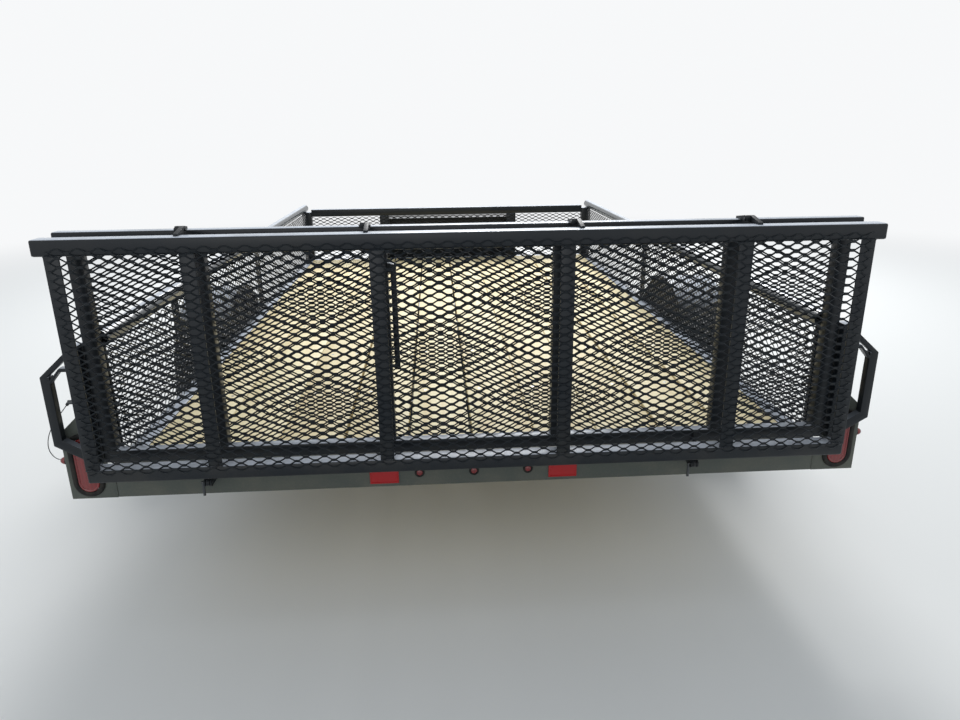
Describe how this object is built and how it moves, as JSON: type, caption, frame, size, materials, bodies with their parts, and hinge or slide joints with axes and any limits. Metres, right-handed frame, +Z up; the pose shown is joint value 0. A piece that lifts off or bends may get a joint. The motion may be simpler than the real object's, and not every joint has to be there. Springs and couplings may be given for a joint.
{
  "type": "utility trailer",
  "caption": "Single-axle utility trailer with a plank deck, expanded-metal sides, a folding ramp gate, a tongue toolbox and a top-wind jack.",
  "frame": {"origin": "middle of the trailer's footprint, on the ground", "axes": "+X to the right seen from behind, +Y forward to the coupler, +Z up"},
  "size_m": [2.566, 4.818, 1.249],
  "materials": {
    "bare_steel": "zinc plated",
    "deck_wood": "raw pine",
    "frame_paint": "semi-gloss charcoal paint",
    "hub_metal": "black primer",
    "jack_zinc": "zinc plated",
    "lamp_red": "moulded red lens",
    "mesh_paint": "semi-gloss charcoal paint on expanded metal",
    "rail_paint": "semi-gloss charcoal paint, worn smooth",
    "reflector_red": "prismatic red reflector",
    "rim_paint": "silver paint",
    "rubber": "matt black rubber",
    "toolbox_paint": "black textured paint",
    "tyre": "matt black rubber"
  },
  "bodies": {
    "root": {"axle": "hub_metal", "corner_guards": "frame_paint", "coupler": "jack_zinc", "deck_planks": "deck_wood", "fender_left": "frame_paint", "fender_right": "frame_paint", "floor_crossmembers": "frame_paint", "front_crossmember": "frame_paint", "front_mesh": "mesh_paint", "front_top_rail": "frame_paint", "front_uprights": "frame_paint", "hinge_ears": "frame_paint", "hinge_pins": "bare_steel", "jack_crank": "bare_steel", "jack_tube": "jack_zinc", "lamp_grommets": "rubber", "lamp_plates": "frame_paint", "lanyard": "bare_steel", "latch_pin": "bare_steel", "leaf_springs": "hub_metal", "lid_pin": "bare_steel", "marker_lamps": "lamp_red", "rear_crossmember": "frame_paint", "reflectors": "reflector_red", "side_mesh_left": "mesh_paint", "side_mesh_right": "mesh_paint", "side_posts": "frame_paint", "side_rail_left": "frame_paint", "side_rail_right": "frame_paint", "spring_hangers": "frame_paint", "tail_lamps": "lamp_red", "tongue_rails": "frame_paint", "toolbox": "toolbox_paint", "top_rail_left": "rail_paint", "top_rail_right": "rail_paint"},
    "wheel_right": {"tyre_right": "tyre", "rim_right": "rim_paint", "hub_right": "hub_metal"},
    "wheel_left": {"tyre_left": "tyre", "rim_left": "rim_paint", "hub_left": "hub_metal"},
    "gate_lower": {"gate_lower_rails": "frame_paint", "gate_lower_uprights": "frame_paint", "gate_lower_mesh": "mesh_paint", "gate_lower_knuckles": "frame_paint", "fold_lower_knuckles": "frame_paint", "fold_pins": "bare_steel", "support_leg": "frame_paint"},
    "gate_upper": {"gate_upper_rails": "frame_paint", "gate_upper_uprights": "frame_paint", "gate_upper_mesh": "mesh_paint", "fold_upper_knuckles": "frame_paint"},
    "jack_leg": {"jack_leg": "bare_steel"},
    "toolbox_lid": {"toolbox_lid": "toolbox_paint"}
  },
  "joints": [
    {"name": "wheel_right_spin", "type": "hinge", "parent": "root", "child": "wheel_right", "pos_m": [1.1775, -0.719, 0.344], "axis": [1, 0, 0], "continuous": true},
    {"name": "wheel_left_spin", "type": "hinge", "parent": "root", "child": "wheel_left", "pos_m": [-1.1775, -0.719, 0.344], "axis": [1, 0, 0], "continuous": true},
    {"name": "gate_hinge", "type": "hinge", "parent": "root", "child": "gate_lower", "pos_m": [0, -2.313, 0.51], "axis": [1, 0, 0], "range_deg": [0, 111.8]},
    {"name": "gate_fold", "type": "hinge", "parent": "gate_lower", "child": "gate_upper", "pos_m": [0, -2.325, 1.24], "axis": [-1, 0, 0], "range_deg": [0, 180]},
    {"name": "jack_screw", "type": "slide", "parent": "root", "child": "jack_leg", "axis": [0, 0, 1], "range_m": [-0.08, 0.18]},
    {"name": "toolbox_lid_hinge", "type": "hinge", "parent": "root", "child": "toolbox_lid", "pos_m": [0, 1.149, 0.84], "axis": [1, 0, 0], "range_deg": [0, 80]}
  ]
}
